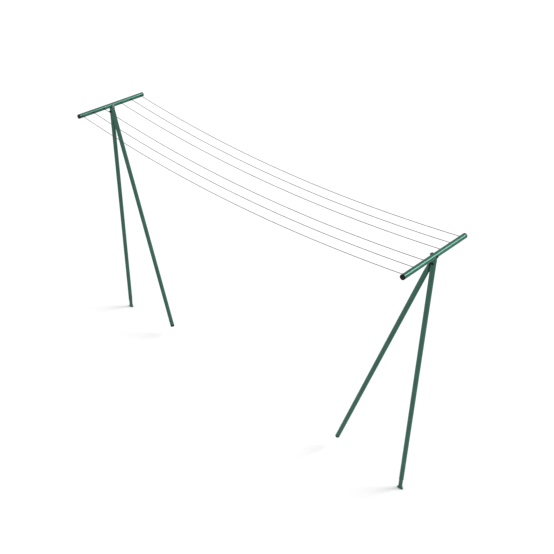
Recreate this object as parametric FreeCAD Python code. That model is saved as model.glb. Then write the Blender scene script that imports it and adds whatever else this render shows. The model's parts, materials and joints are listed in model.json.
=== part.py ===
import FreeCAD, Part
import math
import os

from FreeCAD import Vector

# Two-post clothesline, in millimetres, +Z up.
# The lines run along X, the crossbars along Y.  The origin is midway between the two posts,
# level with the bottom of their crimped feet.  Both stands are the same: the right one is
# modelled and the left one is a copy turned half a turn about Z, so the braces face each other.

# ---- driving dimensions -------------------------------------------------------------------
BAR_HEIGHT = 2000.0          # crossbar axis above the bottom of the post's foot
SPAN = 3100.0                # between the two post axes
BAR_LENGTH = 638.0           # over the end caps
BRACE_REACH = 597.5          # brace foot, inward from the post axis
BRACE_FOOT_HEIGHT = 91.0     # brace foot above the bottom of the post's foot

POST_RADIUS = 16.85          # 33.7 mm steel tube
POST_WALL = 2.0
BAR_RADIUS = 17.5            # 35 mm steel tube
BAR_WALL = 1.5

LINE_OFFSETS = (84.0, 186.0, 288.0)   # three lines each side of the post, along the crossbar
LINE_RADIUS = 2.0
LINE_HOLE_RADIUS = 4.5
KNOT_RADIUS = 5.5

BUSH_BORE_RADIUS = 3.0       # plastic bush in each line hole
BUSH_GAP = 0.1               # between the bush and its hole
BUSH_FLANGE_RADIUS = 6.5
BUSH_FLANGE = 1.4            # flange proud of the crossbar
BUSH_EDGE = 0.7
BUSH_END = 15.8              # from the crossbar axis to the bush's inner end, clear of the knot

# Half of one hanging line, from the middle of the span to the knot inside the crossbar:
# distance along X, then height relative to the crossbar axis.  The other half mirrors it.
LINE_MIDDLE = (0.0, -100.0)
LINE_HALF = (
    (200.0, -98.3),
    (400.0, -93.2),
    (600.0, -84.7),
    (800.0, -72.8),
    (1000.0, -57.4),
    (1200.0, -38.7),
    (1350.0, -22.5),
    (1460.0, -9.3),
    (1540.0, 0.9),
)

# Crimped foot of the post: height, half width along X, half width along Y, squareness.
# It necks in under the round tube, and its end is pressed wide along X.
FOOT_SECTIONS = (
    (0.0, 24.5, 11.5, 3.0),
    (7.0, 20.0, 12.4, 2.6),
    (18.0, 15.2, 13.6, 2.3),
    (34.0, 13.6, 14.0, 2.2),
    (60.0, 14.6, 14.8, 2.1),
)
FOOT_TOP = 90.0              # the round tube starts here
OUTLINE_POINTS = 32          # points on every lofted outline

CAP_HEAD = 10.0              # visible head of a crossbar end cap
CAP_EDGE = 2.2
CAP_PLUG = 12.0              # the plug pushed into the tube, short of the outer knots
PLUG_GAP = 0.2
CAP_WALL = 2.0

SPIGOT_RADIUS = 14.5
SPIGOT_WALL = 2.5
SPIGOT_DEPTH = 112.0         # below the crossbar axis
COPE_GAP = 0.4               # between the coped top of the post and the crossbar

LOCK_DROP = 50.0             # lock bolt below the crossbar axis
BOLT_RADIUS = 4.0            # M8
BOLT_HOLE_RADIUS = 4.3
HEX_FLATS = 13.0
HEAD_HEIGHT = 5.3
NUT_HEIGHT = 6.5
THREAD_END = 2.4             # bolt shown past its nut
SADDLE_RADIUS = 9.5          # plastic washer shaped to the post, under the lock bolt's head and nut
SADDLE_TOP = 18.2            # from the post axis to its flat face
SADDLE_EDGE = 1.2

TAB_GAP = 0.3                # running gap each side of the brace's tab
TAB_THICKNESS = 5.0
TAB_WIDTH = 28.0
TAB_END_RADIUS = 13.0
TAB_HOLE_RADIUS = 4.25
TAB_DROP = 34.0              # flat tab ends this far below the crossbar axis
NECK_MIDDLE = (27.8, 76.0, 8.8, 17.6)  # inward, drop, half depth, half width
NECK_DROP = 120.0            # the round tube starts here
WASHER_RADIUS = 12.0
WASHER_THICKNESS = 2.0
FOOT_CAP_HEAD = 16.0
FOOT_CAP_EDGE = 6.0
FOOT_CAP_PLUG = 30.0

# ---- derived ------------------------------------------------------------------------------
POST_X = SPAN / 2.0
BAR_INNER_RADIUS = BAR_RADIUS - BAR_WALL
POST_INNER_RADIUS = POST_RADIUS - POST_WALL
BRACE_SLOPE = BRACE_REACH / (BAR_HEIGHT - BRACE_FOOT_HEIGHT)
BRACE_ANGLE = math.atan(BRACE_SLOPE)
BRACE_DIR = Vector(-math.sin(BRACE_ANGLE), 0.0, -math.cos(BRACE_ANGLE))
TAB_INNER = BAR_RADIUS + TAB_GAP
TAB_OUTER = TAB_INNER + TAB_THICKNESS

X_AXIS = Vector(1, 0, 0)
Y_AXIS = Vector(0, 1, 0)
Z_AXIS = Vector(0, 0, 1)
ORIGIN = Vector(0, 0, 0)


def at(inward, y, drop):
    """A point of the right stand: inward from the post axis, along the bar, below the bar."""
    return Vector(POST_X - inward, y, BAR_HEIGHT - drop)


def hollow(outer, inner, length, base, axis):
    """A round tube."""
    return Part.makeCylinder(outer, length, base, axis).cut(
        Part.makeCylinder(inner, length, base, axis))


def outline(centre, u_axis, v_axis, radius_at):
    """A closed smooth wire round centre; radius_at(angle) gives its (u, v) offsets."""
    points = []
    for i in range(OUTLINE_POINTS):
        u, v = radius_at(2.0 * math.pi * i / OUTLINE_POINTS)
        points.append(centre + u_axis * u + v_axis * v)
    curve = Part.BSplineCurve()
    curve.interpolate(Points=points, PeriodicFlag=True)
    return Part.Wire([curve.toShape()])


def circle(centre, u_axis, v_axis, radius):
    """A true circle that starts on u_axis, so that it lofts to an outline without a twist."""
    edge = Part.Circle(centre + u_axis * radius, centre + v_axis * radius, centre - u_axis * radius)
    return Part.Wire([edge.toShape()])


def rounded(half_u, half_v, power):
    """A superellipse: power 2 is an ellipse, a larger power is squarer."""
    def offsets(angle):
        c = math.cos(angle)
        s = math.sin(angle)
        return (math.copysign(half_u * abs(c) ** (2.0 / power), c),
                math.copysign(half_v * abs(s) ** (2.0 / power), s))
    return offsets


def hexagon(height, base, axis, side_axis):
    """A hexagon prism along axis, its far end chamfered."""
    corner = HEX_FLATS / math.sqrt(3.0)
    across = axis.cross(side_axis)
    points = []
    for i in range(7):
        angle = math.pi / 3.0 * i
        points.append(base + side_axis * (corner * math.cos(angle))
                      + across * (corner * math.sin(angle)))
    prism = Part.Face(Part.makePolygon(points)).extrude(axis * height)
    top_radius = HEX_FLATS / 2.0 - 0.2
    cone = Part.makeCone(top_radius + height / math.tan(math.radians(30.0)),
                         top_radius, height, base, axis)
    return prism.common(cone)


def bolt(start, axis, side_axis, grip):
    """A hex bolt: head outside start, shank running grip along axis."""
    head = hexagon(HEAD_HEIGHT, start, axis * -1.0, side_axis)
    shank = Part.makeCylinder(BOLT_RADIUS, grip, start, axis)
    return head.fuse(shank).removeSplitter()


def nut(base, axis, side_axis):
    """A hex nut on a plain bore."""
    body = hexagon(NUT_HEIGHT, base, axis, side_axis)
    return body.cut(Part.makeCylinder(BOLT_RADIUS, NUT_HEIGHT, base, axis))


def rounded_disc(radius, height, edge, base, axis):
    """A disc standing on base, its far rim rounded."""
    disc = Part.makeCylinder(radius, height, base, axis)
    face = base + axis * height
    rim = [e for e in disc.Edges
           if e.BoundBox.Center.distanceToPoint(face) < 0.01 and e.Length > radius * 6.0]
    return disc.makeFillet(edge, rim)


# ---- one stand ----------------------------------------------------------------------------
def make_post():
    """Vertical tube: crimped foot, coped top, cross holes for the lock bolt."""
    sections = []
    for height, half_x, half_y, power in FOOT_SECTIONS:
        sections.append(outline(Vector(POST_X, 0, height), X_AXIS, Y_AXIS,
                                rounded(half_x, half_y, power)))
    foot_top = Vector(POST_X, 0, FOOT_TOP)
    sections.append(circle(foot_top, X_AXIS, Y_AXIS, POST_RADIUS))
    foot = Part.makeLoft(sections, True, False)
    tube = hollow(POST_RADIUS, POST_INNER_RADIUS, BAR_HEIGHT - FOOT_TOP, foot_top, Z_AXIS)
    cope = Part.makeCylinder(BAR_RADIUS + COPE_GAP, 80.0, at(0, -40.0, 0), Y_AXIS)
    above = Part.makeBox(80.0, 80.0, 40.0, at(40.0, -40.0, 0))
    cross_hole = Part.makeCylinder(BOLT_HOLE_RADIUS, 80.0, at(0, -40.0, LOCK_DROP), Y_AXIS)
    return foot.fuse(tube).cut(cope).cut(above).cut(cross_hole)


def make_crossbar():
    """Horizontal tube: six line holes in its inner wall, one bolt hole right through."""
    tube_length = BAR_LENGTH - 2.0 * CAP_HEAD
    bar = hollow(BAR_RADIUS, BAR_INNER_RADIUS, tube_length, at(0, -tube_length / 2.0, 0), Y_AXIS)
    for offset in LINE_OFFSETS:
        for y in (-offset, offset):
            bar = bar.cut(Part.makeCylinder(LINE_HOLE_RADIUS, BAR_RADIUS, at(0, y, 0), X_AXIS * -1))
    return bar.cut(Part.makeCylinder(BOLT_HOLE_RADIUS, 60.0, at(30.0, 0, 0), X_AXIS))


def make_line_bush(y):
    """Plastic bush in one line hole: a flange seated on the crossbar and a barrel through its wall."""
    reach = BAR_RADIUS + BUSH_FLANGE
    seat = math.sqrt(BAR_RADIUS ** 2 - BUSH_FLANGE_RADIUS ** 2)
    flange = rounded_disc(BUSH_FLANGE_RADIUS, reach - seat, BUSH_EDGE, at(seat, y, 0), X_AXIS * -1)
    bar = Part.makeCylinder(BAR_RADIUS, 30.0, at(0, y - 15.0, 0), Y_AXIS)
    barrel = Part.makeCylinder(LINE_HOLE_RADIUS - BUSH_GAP, reach - BUSH_EDGE - BUSH_END,
                               at(BUSH_END, y, 0), X_AXIS * -1)
    bore = Part.makeCylinder(BUSH_BORE_RADIUS, 30.0, at(0, y, 0), X_AXIS * -1)
    return flange.cut(bar).fuse(barrel).cut(bore)


def make_line_bushes():
    return Part.makeCompound([make_line_bush(side * offset)
                              for offset in LINE_OFFSETS for side in (-1, 1)])


def make_spigot():
    """Short tube welded under the crossbar; it stands inside the top of the post."""
    spigot = hollow(SPIGOT_RADIUS, SPIGOT_RADIUS - SPIGOT_WALL, SPIGOT_DEPTH,
                    at(0, 0, SPIGOT_DEPTH), Z_AXIS)
    cope = Part.makeCylinder(BAR_RADIUS, 80.0, at(0, -40.0, 0), Y_AXIS)
    cross_hole = Part.makeCylinder(BOLT_HOLE_RADIUS, 80.0, at(0, -40.0, LOCK_DROP), Y_AXIS)
    return spigot.cut(cope).cut(cross_hole)


def make_lock_bolt():
    """Front to back through the post and the spigot inside it."""
    grip = 2.0 * SADDLE_TOP + NUT_HEIGHT + THREAD_END
    return bolt(at(0, -SADDLE_TOP, LOCK_DROP), Y_AXIS, X_AXIS, grip)


def make_lock_nut():
    return nut(at(0, SADDLE_TOP, LOCK_DROP), Y_AXIS, X_AXIS)


def make_lock_saddle(side):
    """Plastic washer with one face shaped to the post; side is -1 for front or 1 for back."""
    centre = at(0, 0, LOCK_DROP)
    disc = rounded_disc(SADDLE_RADIUS, SADDLE_TOP, SADDLE_EDGE, centre, Y_AXIS * side)
    post = Part.makeCylinder(POST_RADIUS, 60.0, at(0, 0, LOCK_DROP + 30.0), Z_AXIS)
    bore = Part.makeCylinder(BOLT_RADIUS, SADDLE_TOP, centre, Y_AXIS * side)
    return disc.cut(post).cut(bore)


def make_lock_saddles():
    return Part.makeCompound([make_lock_saddle(-1), make_lock_saddle(1)])


def make_bar_cap(side):
    """Plastic plug with a round-edged head, closing one end of the crossbar."""
    axis = Y_AXIS * side
    tube_end = BAR_LENGTH / 2.0 - CAP_HEAD
    head = rounded_disc(BAR_RADIUS, CAP_HEAD, CAP_EDGE, at(0, side * tube_end, 0), axis)
    plug_radius = BAR_INNER_RADIUS - PLUG_GAP
    plug = hollow(plug_radius, plug_radius - CAP_WALL, CAP_PLUG,
                  at(0, side * (tube_end - CAP_PLUG), 0), axis)
    return head.fuse(plug)


def make_brace():
    """Leaning tube: its top is pressed to a flat tab that hangs on the brace bolt."""
    neck_axis_inward = NECK_DROP * BRACE_SLOPE
    neck_start = at(neck_axis_inward, 0, NECK_DROP)
    across = BRACE_DIR.cross(Y_AXIS)
    middle_inward, middle_drop, half_depth, half_width = NECK_MIDDLE
    tab_centre = TAB_INNER + TAB_THICKNESS / 2.0
    sections = [
        circle(neck_start, across, Y_AXIS, POST_RADIUS),
        outline(at(middle_inward, 0, middle_drop), across, Y_AXIS,
                rounded(half_depth, half_width, 2.6)),
        outline(at(tab_centre, 0, TAB_DROP), X_AXIS, Y_AXIS,
                rounded(TAB_THICKNESS / 2.0, TAB_WIDTH / 2.0, 5.0)),
    ]
    neck = Part.makeLoft(sections, True, False)
    plate = Part.makeBox(TAB_THICKNESS, TAB_WIDTH, TAB_DROP, at(TAB_OUTER, -TAB_WIDTH / 2.0, TAB_DROP))
    plate = plate.cut(Part.makeBox(TAB_THICKNESS, TAB_WIDTH, TAB_END_RADIUS,
                                   at(TAB_OUTER, -TAB_WIDTH / 2.0, TAB_END_RADIUS)))
    end = Part.makeCylinder(TAB_WIDTH / 2.0, TAB_THICKNESS, at(TAB_OUTER, 0, TAB_END_RADIUS), X_AXIS)
    tip = Part.makeCylinder(TAB_END_RADIUS, TAB_THICKNESS, at(TAB_OUTER, 0, 0), X_AXIS)
    waist = Part.makeBox(TAB_THICKNESS, 2.0 * TAB_END_RADIUS, TAB_END_RADIUS,
                         at(TAB_OUTER, -TAB_END_RADIUS, TAB_END_RADIUS))
    total = math.hypot(BRACE_REACH, BAR_HEIGHT - BRACE_FOOT_HEIGHT)
    start = neck_start.distanceToPoint(at(0, 0, 0))
    length = total - FOOT_CAP_HEAD - start
    tube = hollow(POST_RADIUS, POST_INNER_RADIUS, length, neck_start, BRACE_DIR)
    brace = tube.fuse([neck, plate, end, tip, waist]).removeSplitter()
    return brace.cut(Part.makeCylinder(TAB_HOLE_RADIUS, 40.0, at(40.0, 0, 0), X_AXIS))


def make_brace_foot():
    """Plastic cap on the lower end of the brace: a domed head and a plug inside the tube."""
    total = math.hypot(BRACE_REACH, BAR_HEIGHT - BRACE_FOOT_HEIGHT)
    tube_end = at(0, 0, 0) + BRACE_DIR * (total - FOOT_CAP_HEAD)
    head = rounded_disc(POST_RADIUS, FOOT_CAP_HEAD, FOOT_CAP_EDGE, ORIGIN, Z_AXIS)
    plug_radius = POST_INNER_RADIUS - PLUG_GAP
    plug = hollow(plug_radius, plug_radius - CAP_WALL, FOOT_CAP_PLUG,
                  Vector(0, 0, -FOOT_CAP_PLUG), Z_AXIS)
    cap = head.fuse(plug)
    cap.rotate(ORIGIN, Y_AXIS, 180.0 + math.degrees(BRACE_ANGLE))
    cap.translate(tube_end)
    return cap


def make_brace_bolt():
    grip = BAR_RADIUS + TAB_OUTER + TAB_GAP + WASHER_THICKNESS + NUT_HEIGHT + THREAD_END
    return bolt(at(-BAR_RADIUS, 0, 0), X_AXIS * -1, Y_AXIS, grip)


def make_brace_washer():
    return hollow(WASHER_RADIUS, BOLT_RADIUS, WASHER_THICKNESS, at(TAB_OUTER + TAB_GAP, 0, 0), X_AXIS * -1)


def make_brace_nut():
    return nut(at(TAB_OUTER + TAB_GAP + WASHER_THICKNESS, 0, 0), X_AXIS * -1, Y_AXIS)


# ---- the lines ----------------------------------------------------------------------------
def rounded_path(points):
    """Straight runs joined by tangent arcs, each as large as its two runs allow."""
    edges = []
    radii = []
    start = points[0]
    for before, corner, after in zip(points, points[1:], points[2:]):
        towards = (before - corner)
        away = (after - corner)
        shorter = min(towards.Length, away.Length)
        towards.normalize()
        away.normalize()
        half_turn = (math.pi - towards.getAngle(away)) / 2.0
        radii.append(0.45 * shorter / math.tan(half_turn))
        first = corner + towards * (0.45 * shorter)
        last = corner + away * (0.45 * shorter)
        bisector = towards + away
        bisector.normalize()
        centre_distance = radii[-1] / math.cos(half_turn)
        middle = corner + bisector * (centre_distance - radii[-1])
        edges.append(Part.LineSegment(start, first).toShape())
        edges.append(Part.Arc(first, middle, last).toShape())
        start = last
    edges.append(Part.LineSegment(start, points[-1]).toShape())
    return Part.Wire(edges), radii


def line_points(y):
    right = [Vector(x, y, BAR_HEIGHT + z) for x, z in LINE_HALF]
    left = [Vector(-x, y, BAR_HEIGHT + z) for x, z in reversed(LINE_HALF)]
    return left + [Vector(LINE_MIDDLE[0], y, BAR_HEIGHT + LINE_MIDDLE[1])] + right


def make_line(y):
    """One washing line from knot to knot, hanging between the crossbars."""
    path, radii = rounded_path(line_points(y))
    start = path.Edges[0]
    direction = start.tangentAt(start.FirstParameter)
    profile = Part.Wire([Part.makeCircle(LINE_RADIUS, line_points(y)[0], direction)])
    line = path.makePipeShell([profile], True, True)
    expected = math.pi * LINE_RADIUS ** 2 * path.Length
    print("line y %.0f length %.1f mm, volume/expected %.4f, smallest radius %.0f mm"
          % (y, path.Length, line.Volume / expected, min(radii)))
    return line


def make_knots(y):
    """The stopper knots at the line's two ends, inside the crossbars."""
    end = LINE_HALF[-1][0]
    return Part.makeCompound([Part.makeSphere(KNOT_RADIUS, Vector(side * end, y, BAR_HEIGHT))
                              for side in (-1, 1)])


# ---- write the parts ----------------------------------------------------------------------
STAND = {
    "post": make_post,
    "crossbar": make_crossbar,
    "line_bushes": make_line_bushes,
    "spigot": make_spigot,
    "lock_bolt": make_lock_bolt,
    "lock_nut": make_lock_nut,
    "lock_saddles": make_lock_saddles,
    "front_cap": lambda: make_bar_cap(-1),
    "back_cap": lambda: make_bar_cap(1),
    "brace": make_brace,
    "brace_foot": make_brace_foot,
    "brace_bolt": make_brace_bolt,
    "brace_washer": make_brace_washer,
    "brace_nut": make_brace_nut,
}


def main():
    os.makedirs("parts", exist_ok=True)
    nodes = {}
    for name, make in STAND.items():
        shape = make()
        nodes["right_" + name] = shape
        turned = shape.copy()
        turned.rotate(ORIGIN, Z_AXIS, 180.0)
        nodes["left_" + name] = turned
    # Turning the left stand swaps its caps, so each keeps the name of the end where it is.
    nodes["left_front_cap"], nodes["left_back_cap"] = nodes["left_back_cap"], nodes["left_front_cap"]
    offsets = [-offset for offset in reversed(LINE_OFFSETS)] + list(LINE_OFFSETS)
    for number, y in enumerate(offsets, start=1):
        nodes["line_%d" % number] = make_line(y)
        nodes["line_%d_knots" % number] = make_knots(y)
    for name, shape in nodes.items():
        if not shape.isValid():
            print("not valid:", name)
        shape.exportStep("parts/%s.step" % name)
    print("%d nodes" % len(nodes))


main()
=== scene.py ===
import json
import math

import bpy
from mathutils import Matrix, Vector

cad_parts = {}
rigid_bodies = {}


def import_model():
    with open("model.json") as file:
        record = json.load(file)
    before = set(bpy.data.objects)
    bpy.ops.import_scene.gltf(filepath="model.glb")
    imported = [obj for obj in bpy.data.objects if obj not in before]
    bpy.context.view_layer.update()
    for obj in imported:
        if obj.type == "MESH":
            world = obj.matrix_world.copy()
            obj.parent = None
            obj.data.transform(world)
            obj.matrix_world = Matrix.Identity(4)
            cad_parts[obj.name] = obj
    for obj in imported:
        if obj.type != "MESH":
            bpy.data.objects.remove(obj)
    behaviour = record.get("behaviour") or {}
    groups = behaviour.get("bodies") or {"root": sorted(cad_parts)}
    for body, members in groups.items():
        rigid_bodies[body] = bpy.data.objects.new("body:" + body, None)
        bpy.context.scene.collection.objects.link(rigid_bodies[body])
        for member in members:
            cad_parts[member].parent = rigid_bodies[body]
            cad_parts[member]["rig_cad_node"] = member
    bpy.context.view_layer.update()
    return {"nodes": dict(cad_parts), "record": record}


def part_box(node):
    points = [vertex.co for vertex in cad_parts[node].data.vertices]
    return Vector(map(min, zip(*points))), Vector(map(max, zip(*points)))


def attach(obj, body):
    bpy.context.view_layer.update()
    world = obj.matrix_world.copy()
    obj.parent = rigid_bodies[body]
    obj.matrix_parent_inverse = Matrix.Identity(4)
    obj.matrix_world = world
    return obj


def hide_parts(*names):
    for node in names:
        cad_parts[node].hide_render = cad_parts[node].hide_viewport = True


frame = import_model()

# ---- places, in metres -----------------------------------------------------------------------
MM = 0.001
SIDES = ("left", "right")
INWARD = {"left": 1.0, "right": -1.0}      # the direction along X that faces the other stand
LINE_NUMBERS = range(1, 7)

# Half of one washing line: distance from mid-span along X, height relative to the crossbar axis.
# The other half mirrors it.
LINE_MIDDLE = (0.0, -0.1000)
LINE_HALF = (
    (0.200, -0.0983),
    (0.400, -0.0932),
    (0.600, -0.0847),
    (0.800, -0.0728),
    (1.000, -0.0574),
    (1.200, -0.0387),
    (1.350, -0.0225),
    (1.460, -0.0093),
    (1.540, 0.0009),
)
LINE_DIAMETER = 0.004


def centre(node):
    """The middle of a CAD node's box."""
    low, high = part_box(node)
    return (low + high) / 2.0


def bar_axis(side):
    """The middle of a stand's crossbar."""
    return centre(side + "_crossbar")


BAR_HEIGHT = bar_axis("right").z
BAR_RADIUS = (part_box("right_crossbar")[1].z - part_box("right_crossbar")[0].z) / 2.0
BAR_WALL = 1.5 * MM
POST_RADIUS = 16.85 * MM      # the posts' and the braces' tube
POST_WALL = 2.0 * MM


# ---- camera ----------------------------------------------------------------------------------
def make_camera():
    """The viewpoint: high up, in front and beyond the right stand, looking down the lines."""
    position = Vector((3.7096, -3.6960, 4.7146))
    yaw = 2.3525                 # radians, as are pitch and roll
    pitch = 0.6071
    roll = 0.0026
    forward = Vector((math.cos(pitch) * math.cos(yaw),
                      math.cos(pitch) * math.sin(yaw),
                      -math.sin(pitch)))
    level = forward.cross(Vector((0, 0, 1))).normalized()
    right = level * math.cos(roll) + level.cross(forward) * math.sin(roll)
    up = right.cross(forward)
    data = bpy.data.cameras.new("camera")
    data.sensor_width = 36.0
    data.lens = 54.84
    data.shift_x = 0.0448
    data.shift_y = 0.0023
    data.clip_end = 200.0
    camera = bpy.data.objects.new("camera", data)
    turn = Matrix((right, up, -forward)).transposed()
    camera.matrix_world = Matrix.Translation(position) @ turn.to_4x4()
    bpy.context.scene.collection.objects.link(camera)
    bpy.context.scene.camera = camera


# ---- node helpers ----------------------------------------------------------------------------
def new_material(name):
    material = bpy.data.materials.new(name)
    material.use_nodes = True
    nodes = material.node_tree.nodes
    return material, nodes, material.node_tree.links, nodes["Principled BSDF"]


def noise(nodes, links, coordinates, scale, detail, roughness):
    node = nodes.new("ShaderNodeTexNoise")
    node.inputs["Scale"].default_value = scale
    node.inputs["Detail"].default_value = detail
    node.inputs["Roughness"].default_value = roughness
    links.new(coordinates, node.inputs["Vector"])
    return node.outputs["Fac"]


def object_coordinates(nodes):
    return nodes.new("ShaderNodeTexCoord").outputs["Object"]


def ramp(nodes, links, value, stops):
    """A colour ramp: stops are (position, colour) pairs."""
    node = nodes.new("ShaderNodeValToRGB")
    elements = node.color_ramp.elements
    while len(elements) < len(stops):
        elements.new(0.5)
    for element, (position, colour) in zip(elements, stops):
        element.position = position
        element.color = (*colour, 1.0)
    links.new(value, node.inputs["Fac"])
    return node.outputs["Color"]


def spread(nodes, links, value, low, high):
    """Maps a 0 to 1 value to the range low to high."""
    node = nodes.new("ShaderNodeMapRange")
    node.inputs["To Min"].default_value = low
    node.inputs["To Max"].default_value = high
    links.new(value, node.inputs["Value"])
    return node.outputs["Result"]


def bump(nodes, links, height, strength, distance, below=None):
    """A bumped normal, on top of the normal below if one is given."""
    node = nodes.new("ShaderNodeBump")
    node.inputs["Strength"].default_value = strength
    node.inputs["Distance"].default_value = distance
    links.new(height, node.inputs["Height"])
    if below is not None:
        links.new(below, node.inputs["Normal"])
    return node.outputs["Normal"]


# ---- materials -------------------------------------------------------------------------------
def green_coat():
    """Satin green coat on steel tube: cloudy tone, smudged sheen, orange peel over long waves."""
    material, nodes, links, shader = new_material("green_coat")
    place = object_coordinates(nodes)
    cloud = noise(nodes, links, place, scale=9.0, detail=4.0, roughness=0.55)
    colour = ramp(nodes, links, cloud, (
        (0.30, (0.034, 0.094, 0.069)),
        (0.55, (0.039, 0.108, 0.080)),
        (0.80, (0.047, 0.124, 0.093))))
    links.new(colour, shader.inputs["Base Color"])
    smudge = noise(nodes, links, place, scale=34.0, detail=5.0, roughness=0.6)
    links.new(spread(nodes, links, smudge, low=0.20, high=0.28), shader.inputs["Roughness"])
    peel = noise(nodes, links, place, scale=420.0, detail=2.0, roughness=0.4)
    waves = noise(nodes, links, place, scale=60.0, detail=2.0, roughness=0.5)
    under = bump(nodes, links, waves, strength=0.05, distance=0.002)
    skin = bump(nodes, links, peel, strength=0.10, distance=0.0006, below=under)
    links.new(skin, shader.inputs["Normal"])
    shader.inputs["Specular Tint"].default_value = (0.55, 0.80, 0.70, 1.0)
    shader.inputs["Metallic"].default_value = 0.5
    shader.inputs["IOR"].default_value = 1.3
    return material


def black_plastic():
    """Moulded black plastic with a fine grain and faint scuffs."""
    material, nodes, links, shader = new_material("black_plastic")
    place = object_coordinates(nodes)
    cloud = noise(nodes, links, place, scale=40.0, detail=4.0, roughness=0.6)
    colour = ramp(nodes, links, cloud, (
        (0.30, (0.0008, 0.0010, 0.0010)),
        (0.75, (0.0026, 0.0030, 0.0029))))
    links.new(colour, shader.inputs["Base Color"])
    scuff = noise(nodes, links, place, scale=160.0, detail=6.0, roughness=0.65)
    links.new(spread(nodes, links, scuff, low=0.26, high=0.46), shader.inputs["Roughness"])
    grain = noise(nodes, links, place, scale=900.0, detail=2.0, roughness=0.5)
    links.new(bump(nodes, links, grain, strength=0.12, distance=0.0003), shader.inputs["Normal"])
    shader.inputs["IOR"].default_value = 1.22
    return material


def black_steel():
    """Black coated bolt, slightly worn to a browner grey in patches."""
    material, nodes, links, shader = new_material("black_steel")
    place = object_coordinates(nodes)
    wear = noise(nodes, links, place, scale=220.0, detail=6.0, roughness=0.7)
    colour = ramp(nodes, links, wear, (
        (0.40, (0.006, 0.007, 0.007)),
        (0.62, (0.012, 0.013, 0.013)),
        (0.85, (0.060, 0.059, 0.057))))
    links.new(colour, shader.inputs["Base Color"])
    links.new(spread(nodes, links, wear, low=0.30, high=0.55), shader.inputs["Roughness"])
    links.new(bump(nodes, links, wear, strength=0.15, distance=0.0003), shader.inputs["Normal"])
    shader.inputs["Metallic"].default_value = 0.6
    return material


def zinc():
    """Zinc plate, mottled from a cool grey to a warmer one."""
    material, nodes, links, shader = new_material("zinc")
    place = object_coordinates(nodes)
    mottle = noise(nodes, links, place, scale=260.0, detail=5.0, roughness=0.6)
    colour = ramp(nodes, links, mottle, (
        (0.30, (0.22, 0.22, 0.23)),
        (0.70, (0.38, 0.375, 0.36))))
    links.new(colour, shader.inputs["Base Color"])
    links.new(spread(nodes, links, mottle, low=0.28, high=0.46), shader.inputs["Roughness"])
    links.new(bump(nodes, links, mottle, strength=0.08, distance=0.0002), shader.inputs["Normal"])
    shader.inputs["Metallic"].default_value = 1.0
    return material


def line_pvc():
    """Dark grey plastic-coated line over a twisted core, softly mottled by the weather."""
    material, nodes, links, shader = new_material("line_pvc")
    place = object_coordinates(nodes)
    weather = noise(nodes, links, place, scale=14.0, detail=5.0, roughness=0.65)
    colour = ramp(nodes, links, weather, (
        (0.30, (0.022, 0.022, 0.021)),
        (0.70, (0.036, 0.036, 0.0345))))
    links.new(colour, shader.inputs["Base Color"])
    twist = nodes.new("ShaderNodeTexWave")
    twist.bands_direction = "DIAGONAL"
    twist.inputs["Scale"].default_value = 42.0
    twist.inputs["Distortion"].default_value = 0.6
    links.new(place, twist.inputs["Vector"])
    core = bump(nodes, links, twist.outputs["Fac"], strength=0.20, distance=0.0004)
    fine = noise(nodes, links, place, scale=700.0, detail=3.0, roughness=0.5)
    links.new(spread(nodes, links, fine, low=0.42, high=0.60), shader.inputs["Roughness"])
    skin = bump(nodes, links, fine, strength=0.15, distance=0.0003, below=core)
    links.new(skin, shader.inputs["Normal"])
    shader.inputs["IOR"].default_value = 1.3
    return material


def floor_white():
    """A plain pale floor."""
    material, nodes, links, shader = new_material("floor_white")
    tone = noise(nodes, links, object_coordinates(nodes), scale=0.6, detail=2.0, roughness=0.5)
    colour = ramp(nodes, links, tone, (
        (0.3, (0.765, 0.765, 0.765)),
        (0.7, (0.775, 0.775, 0.775))))
    links.new(colour, shader.inputs["Base Color"])
    shader.inputs["Roughness"].default_value = 0.9
    shader.inputs["Specular IOR Level"].default_value = 0.1
    return material


MATERIALS = {
    "green_coat": green_coat(),
    "black_plastic": black_plastic(),
    "black_steel": black_steel(),
    "zinc": zinc(),
    "line_pvc": line_pvc(),
}


def paint(piece, slot):
    """Gives a piece the material of the given slot."""
    piece.data.materials.clear()
    piece.data.materials.append(MATERIALS[slot])


def paint_cad_nodes():
    """Every carried-over CAD node takes the detailed material of its slot."""
    for entry in frame["record"]["subparts"]:
        paint(frame["nodes"][entry["node"]], entry["material_slot"])


# ---- washing lines ---------------------------------------------------------------------------
def line_route(y):
    """The points of the washing line at y, from the left stand to the right one."""
    right = [Vector((x, y, BAR_HEIGHT + z)) for x, z in LINE_HALF]
    left = [Vector((-x, y, BAR_HEIGHT + z)) for x, z in reversed(LINE_HALF)]
    return left + [Vector((LINE_MIDDLE[0], y, BAR_HEIGHT + LINE_MIDDLE[1]))] + right


def make_line(number):
    """One washing line, hanging between the two crossbars."""
    node = "line_%d" % number
    y = centre(node).y
    route = line_route(y)
    data = bpy.data.curves.new(node + "_cord", "CURVE")
    data.dimensions = "3D"
    spline = data.splines.new("NURBS")
    spline.points.add(len(route) - 1)
    for point, place in zip(spline.points, route):
        point.co = (*place, 1.0)
        point.radius = LINE_DIAMETER / 2.0
    spline.order_u = 3
    spline.use_endpoint_u = True
    data.resolution_u = 10
    data.bevel_depth = 1.0          # times each point's radius
    data.bevel_resolution = 4
    data.use_fill_caps = True
    cord = bpy.data.objects.new(node + "_cord", data)
    bpy.context.scene.collection.objects.link(cord)
    body = "line_%d_span" % number
    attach(cord, body)
    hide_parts(node)
    paint(cord, "line_pvc")


# ---- turned pieces -----------------------------------------------------------------------------
COLUMNS = 72                 # points round every turned piece
SHARP = math.radians(32.0)   # faces that meet at more than this keep a crisp edge
HUB_RADIUS = 0.4 * MM        # the small ring that closes a face round the axis


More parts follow.
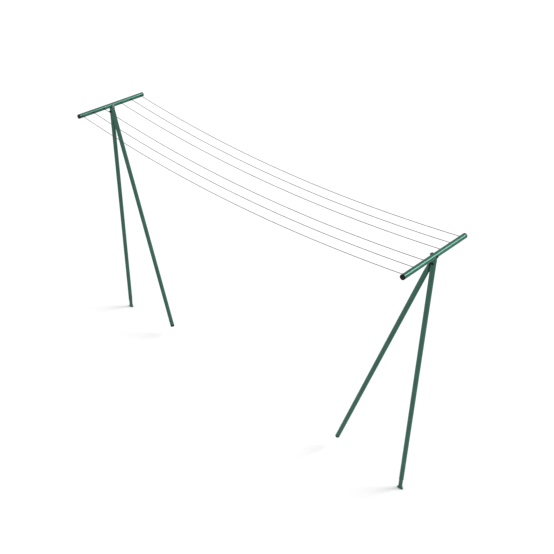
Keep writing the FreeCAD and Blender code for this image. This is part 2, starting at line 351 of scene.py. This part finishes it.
def turned(rows, origin, axis, side=None, ring=False):
    """The points and faces of a closed shell of rings round axis.  Each row gives (radius, height)
    for every column, and column 0 lies towards side.  ring joins the last row to the first, as
    round a nut's hole; otherwise both ends are closed."""
    if side is None:
        side = axis.orthogonal().normalized()
    across = axis.cross(side)
    points = []
    for row in rows:
        for i, (radius, height) in enumerate(row):
            angle = 2.0 * math.pi * i / COLUMNS
            points.append(origin + axis * height
                          + side * (radius * math.cos(angle)) + across * (radius * math.sin(angle)))
    faces = []
    for r in range(len(rows) if ring else len(rows) - 1):
        a = r * COLUMNS
        b = (r + 1) % len(rows) * COLUMNS
        for i in range(COLUMNS):
            j = (i + 1) % COLUMNS
            faces.append((a + i, a + j, b + j, b + i))
    if not ring:
        last = (len(rows) - 1) * COLUMNS
        faces.append(tuple(reversed(range(COLUMNS))))
        faces.append(tuple(last + i for i in range(COLUMNS)))
    return points, faces


def make_piece(node, suffix, shells, body, slot):
    """One object made of closed shells.  It replaces a CAD node and rides its body."""
    points = []
    faces = []
    for shell_points, shell_faces in shells:
        start = len(points)
        points += shell_points
        faces += [tuple(start + i for i in face) for face in shell_faces]
    mesh = bpy.data.meshes.new(node + suffix)
    mesh.from_pydata(points, [], faces)
    mesh.shade_smooth()
    mesh.set_sharp_from_angle(angle=SHARP)
    piece = bpy.data.objects.new(node + suffix, mesh)
    bpy.context.scene.collection.objects.link(piece)
    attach(piece, body)
    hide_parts(node)
    paint(piece, slot)


def round_rows(*profile):
    """Round rows, one for each (radius, height) pair."""
    return [[pair] * COLUMNS for pair in profile]


def arc_rows(radius, height, edge, steps=8):
    """A rounded rim: from the side wall below height to the flat face at height."""
    rows = []
    for k in range(steps + 1):
        angle = math.pi / 2.0 * k / steps
        rows += round_rows((radius - edge * (1.0 - math.cos(angle)),
                            height - edge * (1.0 - math.sin(angle))))
    return rows


def seated_row(radius, tube_radius):
    """A row lying on a tube whose axis runs towards column 0 and crosses the turning axis."""
    row = []
    for i in range(COLUMNS):
        across = radius * math.sin(2.0 * math.pi * i / COLUMNS)
        row.append((radius, math.sqrt(tube_radius ** 2 - across ** 2)))
    return row


# ---- M8 bolts, nuts and washers ----------------------------------------------------------------
BOLT_RADIUS = 4.0 * MM
HEX_FLATS = 13.0 * MM
HEX_TOP = HEX_FLATS / 2.0 * 0.97     # radius of the flat face inside the chamfer
CHAMFER = math.radians(30.0)
HEAD_HEIGHT = 5.3 * MM
NUT_HEIGHT = 6.5 * MM
THREAD_PITCH = 1.25 * MM
THREAD_DEPTH = 0.45 * MM
THREAD_LENGTH = 11.0 * MM
THREAD_ROWS = 6.0            # rows in one turn of the thread


def hex_corner(i):
    """The hexagon's radius at column i, and how far the chamfer cuts it back there."""
    angle = (360.0 * i / COLUMNS) % 60.0 - 30.0
    radius = HEX_FLATS / 2.0 / math.cos(math.radians(angle))
    return radius, (radius - HEX_TOP) * math.tan(CHAMFER)


def hex_rows(low, high):
    """The sides of a hexagon from low to high along the axis, chamfered at high."""
    away = math.copysign(1.0, low - high)
    corners = [hex_corner(i) for i in range(COLUMNS)]
    sides = [[(radius, low) for radius, drop in corners],
             [(radius, high + away * drop) for radius, drop in corners]]
    return sides + round_rows((HEX_TOP, high))


def thread_rows(start, end):
    """A helical thread from start to end along the axis, full depth after a quarter of its length."""
    steps = int(round((end - start) / (THREAD_PITCH / THREAD_ROWS)))
    rows = []
    for k in range(steps + 1):
        height = start + (end - start) * k / steps
        depth = THREAD_DEPTH * min(1.0, 4.0 * k / steps)
        row = []
        for i in range(COLUMNS):
            turn = (height / THREAD_PITCH - i / COLUMNS) % 1.0
            row.append((BOLT_RADIUS - depth * (1.0 - abs(2.0 * turn - 1.0)), height))
        rows.append(row)
    return rows


def bolt_shell(origin, axis, shank):
    """Hex bolt: a dished, chamfered head behind origin and a shank along axis, threaded at its end."""
    dish_floor = 0.35 * MM - HEAD_HEIGHT
    dish_radius = 3.6 * MM
    dish_rim = 4.4 * MM
    run_out = 0.3 * MM           # plain shank just before the thread
    point = 0.6 * MM             # length of the tapered tip
    tip_radius = BOLT_RADIUS - 0.8 * MM
    thread_start = shank - THREAD_LENGTH
    rows = round_rows((HUB_RADIUS, dish_floor), (dish_radius, dish_floor), (dish_rim, -HEAD_HEIGHT))
    rows += reversed(hex_rows(0.0, -HEAD_HEIGHT))
    rows += round_rows((BOLT_RADIUS, 0.0), (BOLT_RADIUS, thread_start - run_out))
    rows += thread_rows(thread_start, shank - point)
    rows += round_rows((tip_radius, shank), (HUB_RADIUS, shank))
    return turned(rows, origin, axis)


def nut_shell(origin, axis):
    """Hex nut standing on origin, chamfered on its outer face, with a countersunk hole."""
    hole = BOLT_RADIUS + 0.03 * MM
    outer_sink = 0.6 * MM        # depths of the countersinks
    seat_sink = 0.4 * MM
    rows = hex_rows(0.0, NUT_HEIGHT)
    rows += round_rows((BOLT_RADIUS + 0.5 * MM, NUT_HEIGHT),
                       (hole, NUT_HEIGHT - outer_sink),
                       (hole, seat_sink),
                       (BOLT_RADIUS + 0.3 * MM, 0.0))
    return turned(rows, origin, axis, ring=True)


def washer_shell(origin, axis, radius, thickness):
    """Flat washer: its rim bevelled below and rounded above, its hole bevelled above."""
    edge = 0.5 * MM
    hole = BOLT_RADIUS + 0.1 * MM
    bevel = 0.2 * MM
    rows = round_rows((hole + bevel, thickness), (hole, thickness - bevel), (hole, 0.0),
                      (radius - edge, 0.0), (radius, edge))
    rows += arc_rows(radius, thickness, edge)
    return turned(rows, origin, axis, ring=True)


def make_brace_fasteners(side):
    """The bolt along X that hangs the brace, with the wide washer and nut over the brace's tab."""
    bar = bar_axis(side)
    inward = Vector((INWARD[side], 0.0, 0.0))
    low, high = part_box(side + "_brace_bolt")
    shank = high.x - low.x - HEAD_HEIGHT
    make_piece(side + "_brace_bolt", "_hex", [bolt_shell(bar - inward * BAR_RADIUS, inward, shank)],
               "root", "black_steel")
    for part in ("washer", "nut"):
        node = "%s_brace_%s" % (side, part)
        low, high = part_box(node)
        seat = Vector((low.x if INWARD[side] > 0.0 else high.x, bar.y, bar.z))
        if part == "nut":
            shell = nut_shell(seat, inward)
        else:
            shell = washer_shell(seat, inward, (high.y - low.y) / 2.0, high.x - low.x)
        make_piece(node, "_turned", [shell], "root", "zinc")


def saddle_rows(radius, top):
    """A plastic washer from its face on the post out to its flat face at top, with a bored hole."""
    edge = 1.2 * MM
    bore = BOLT_RADIUS + 0.05 * MM
    bevel = 0.4 * MM
    rows = [seated_row(bore, POST_RADIUS)]
    rows += round_rows((bore, top - bevel), (bore + bevel, top))
    rows += reversed(arc_rows(radius, top, edge))
    rows.append(seated_row(radius, POST_RADIUS))
    return rows


def make_lock(side):
    """The bolt and nut along Y that lock the crossbar on the post, each over a moulded saddle."""
    low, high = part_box(side + "_lock_saddles")
    top = (high.y - low.y) / 2.0
    radius = (high.z - low.z) / 2.0
    place = centre(side + "_lock_saddles")
    towards_nut = math.copysign(1.0, centre(side + "_lock_nut").y - bar_axis(side).y)
    along = Vector((0.0, towards_nut, 0.0))
    bolt_low, bolt_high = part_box(side + "_lock_bolt")
    shank = bolt_high.y - bolt_low.y - HEAD_HEIGHT
    make_piece(side + "_lock_bolt", "_hex", [bolt_shell(place - along * top, along, shank)],
               "root", "black_steel")
    make_piece(side + "_lock_nut", "_hex", [nut_shell(place + along * top, along)],
               "root", "black_steel")
    rows = saddle_rows(radius, top)
    saddles = [turned(rows, place, Vector((0.0, way, 0.0)), Vector((0.0, 0.0, 1.0)), ring=True)
               for way in (-1.0, 1.0)]
    make_piece(side + "_lock_saddles", "_moulded", saddles, "root", "black_plastic")


# ---- moulded bushes, caps and feet -------------------------------------------------------------
BUSH_BORE_RADIUS = 3.0 * MM
BUSH_BARREL_RADIUS = 4.4 * MM
BUSH_FLANGE_RADIUS = 6.5 * MM
BUSH_FLANGE = 1.4 * MM       # flange proud of the crossbar
BUSH_EDGE = 0.7 * MM
BUSH_END = 15.8 * MM         # from the crossbar's axis to the bush's inner end
BUSH_BEVEL = 0.3 * MM        # on both rims of the inner end
BUSH_MOUTH = 0.6 * MM        # depth and width of the flare where the line comes out

PLUG_GAP = 0.2 * MM          # between a plug and its tube
PLUG_WALL = 2.0 * MM
PLUG_LEAD = 0.5 * MM         # how much a plug's end tapers
RECESS = 1.0 * MM            # depth of the hollow in a plug's end
RECESS_DRAFT = 0.4 * MM
SEAT_BEVEL = 0.3 * MM        # where a cap's head meets the tube

CAP_EDGE = 2.2 * MM
CAP_RIBS = (0.35, 0.65)      # places along the crossbar cap's plug
RIB_DEPTH = 0.4 * MM
RIB_HALF = 0.4 * MM
CAP_GROOVE = 1.6 * MM        # from the tube's end to the groove round the head
FACE_RING = 12.6 * MM        # outer radius of the shallow ring on the crossbar cap's face

FOOT_HEAD = 16.0 * MM
FOOT_EDGE = 6.0 * MM
FOOT_PLUG = 30.0 * MM
FOOT_GROOVES = (2.2 * MM, 4.4 * MM, 6.6 * MM)
GATE_RADIUS = 2.2 * MM       # the mark that the moulding gate leaves
GATE_DRAFT = 0.3 * MM


def bush_rows():
    """A rounded flange seated on the crossbar, a flared mouth and a barrel through its wall."""
    flange = BAR_RADIUS + BUSH_FLANGE
    bevel_top = BUSH_END + BUSH_BEVEL
    rows = round_rows((BUSH_BORE_RADIUS + BUSH_BEVEL, BUSH_END),
                      (BUSH_BORE_RADIUS, bevel_top),
                      (BUSH_BORE_RADIUS, flange - BUSH_MOUTH),
                      (BUSH_BORE_RADIUS + 0.15 * MM, flange - 0.25 * MM),
                      (BUSH_BORE_RADIUS + BUSH_MOUTH, flange))
    rows += reversed(arc_rows(BUSH_FLANGE_RADIUS, flange, BUSH_EDGE))
    rows.append(seated_row(BUSH_FLANGE_RADIUS, BAR_RADIUS))
    rows.append(seated_row(BUSH_BARREL_RADIUS, BAR_RADIUS))
    rows += round_rows((BUSH_BARREL_RADIUS, bevel_top), (BUSH_BARREL_RADIUS - BUSH_BEVEL, BUSH_END))
    return rows


def make_bushes(side):
    """Six moulded bushes, one for each washing line."""
    bar = bar_axis(side)
    inward = Vector((INWARD[side], 0.0, 0.0))
    rows = bush_rows()
    shells = []
    for number in LINE_NUMBERS:
        place = Vector((bar.x, centre("line_%d" % number).y, bar.z))
        shells.append(turned(rows, place, inward, Vector((0.0, 1.0, 0.0)), ring=True))
    make_piece(side + "_line_bushes", "_moulded", shells, "root", "black_plastic")


def plug_rows(radius, length, lead):
    """The inner end of a plug: a shallow hollow, then a taper of length lead up to its radius."""
    hollow = RECESS - length
    return round_rows((HUB_RADIUS, hollow), (radius - PLUG_WALL - RECESS_DRAFT, hollow),
                      (radius - PLUG_WALL, -length), (radius - PLUG_LEAD, -length),
                      (radius, lead - length))


def groove_rows(radius, start, depth, slope, width):
    """A groove round a side wall, from start to start + width."""
    return round_rows((radius, start), (radius - depth, start + slope),
                      (radius - depth, start + width - slope), (radius, start + width))


def gate_rows(rim, floor):
    """The round gate mark in the middle of a moulded face: the heights of its rim and its floor."""
    return round_rows((GATE_RADIUS, rim), (GATE_RADIUS - GATE_DRAFT, floor), (HUB_RADIUS, floor))


def make_bar_cap(side, end, direction):
    """Moulded end cap: a ribbed plug in the tube, and a head with a groove round its side, a rounded
    rim, and a shallow ring and a gate mark on its face."""
    node = "%s_%s_cap" % (side, end)
    low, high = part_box(node)
    tube_low, tube_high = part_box(side + "_crossbar")
    bar = bar_axis(side)
    tube_end = tube_high.y if direction > 0 else tube_low.y
    head = abs((high.y if direction > 0 else low.y) - tube_end)
    plug = (high.y - low.y) - head
    radius = BAR_RADIUS - BAR_WALL - PLUG_GAP
    rows = plug_rows(radius, plug, lead=1.2 * MM)
    for rib in CAP_RIBS:
        rows += round_rows((radius - RIB_DEPTH, -plug * rib - RIB_HALF),
                           (radius, -plug * rib + RIB_HALF))
    rows += round_rows((radius - 0.2 * MM, 0.0), (BAR_RADIUS - SEAT_BEVEL, 0.0),
                       (BAR_RADIUS, SEAT_BEVEL))
    rows += groove_rows(BAR_RADIUS, CAP_GROOVE, depth=0.45 * MM, slope=0.3 * MM, width=1.2 * MM)
    rows += arc_rows(BAR_RADIUS, head, CAP_EDGE)
    rows += round_rows((FACE_RING, head), (FACE_RING - 0.4 * MM, head - 0.4 * MM),
                       (FACE_RING - 1.6 * MM, head - 0.4 * MM), (FACE_RING - 2.0 * MM, head - 0.1 * MM))
    rows += gate_rows(head - 0.3 * MM, head - 0.8 * MM)
    origin = Vector((bar.x, tube_end, bar.z))
    make_piece(node, "_moulded", [turned(rows, origin, Vector((0.0, direction, 0.0)))],
               "root", "black_plastic")


def make_brace_foot(side):
    """Moulded foot cap of the brace: a plug, a side wall with grooves and a domed end."""
    node = side + "_brace_foot"
    mount = next(m for m in frame["record"]["mounts"] if m["name"] == side + "_brace_end")
    tip = Vector(mount["pos_m"])
    down = (tip - bar_axis(side)).normalized()
    radius = POST_RADIUS - POST_WALL - PLUG_GAP
    rows = plug_rows(radius, FOOT_PLUG, lead=1.5 * MM)
    rows += round_rows((radius, 0.0), (POST_RADIUS - SEAT_BEVEL, 0.0), (POST_RADIUS, SEAT_BEVEL))
    for groove in FOOT_GROOVES:
        rows += groove_rows(POST_RADIUS, groove, depth=0.4 * MM, slope=0.25 * MM, width=1.0 * MM)
    rows += arc_rows(POST_RADIUS, FOOT_HEAD, FOOT_EDGE, steps=12)
    rows += round_rows((6.0 * MM, FOOT_HEAD - 0.1 * MM))
    rows += gate_rows(FOOT_HEAD - 0.15 * MM, FOOT_HEAD - 0.7 * MM)
    make_piece(node, "_moulded", [turned(rows, tip - down * FOOT_HEAD, down)],
               side + "_brace_arm", "black_plastic")


# ---- stage -----------------------------------------------------------------------------------
def make_floor():
    """A wide flat floor at the height where the posts' feet end."""
    mesh = bpy.data.meshes.new("floor")
    half = 40.0
    mesh.from_pydata([(-half, -half, 0), (half, -half, 0), (half, half, 0), (-half, half, 0)],
                     [], [(0, 1, 2, 3)])
    floor = bpy.data.objects.new("floor", mesh)
    bpy.context.scene.collection.objects.link(floor)
    mesh.materials.append(floor_white())


def make_world():
    """An even white surround."""
    world = bpy.data.worlds.new("surround")
    world.use_nodes = True
    background = world.node_tree.nodes["Background"]
    background.inputs["Color"].default_value = (1.0, 1.0, 1.0, 1.0)
    background.inputs["Strength"].default_value = 1.0
    bpy.context.scene.world = world


def make_key():
    """One broad soft light from behind the lines, on the right stand's side, 36 degrees up."""
    data = bpy.data.lights.new("key", "SUN")
    data.energy = 2.1
    data.angle = math.radians(26.0)
    light = bpy.data.objects.new("key", data)
    towards_light = Vector((0.463, 0.660, 0.592))
    light.rotation_mode = "QUATERNION"
    light.rotation_quaternion = towards_light.to_track_quat("Z", "Y")
    bpy.context.scene.collection.objects.link(light)


make_camera()
for line_number in LINE_NUMBERS:
    make_line(line_number)
for stand in SIDES:
    make_brace_fasteners(stand)
    make_lock(stand)
    make_bushes(stand)
    make_bar_cap(stand, "front", -1.0)
    make_bar_cap(stand, "back", 1.0)
    make_brace_foot(stand)
paint_cad_nodes()
make_floor()
make_world()
make_key()
bpy.context.scene.view_settings.view_transform = "Standard"
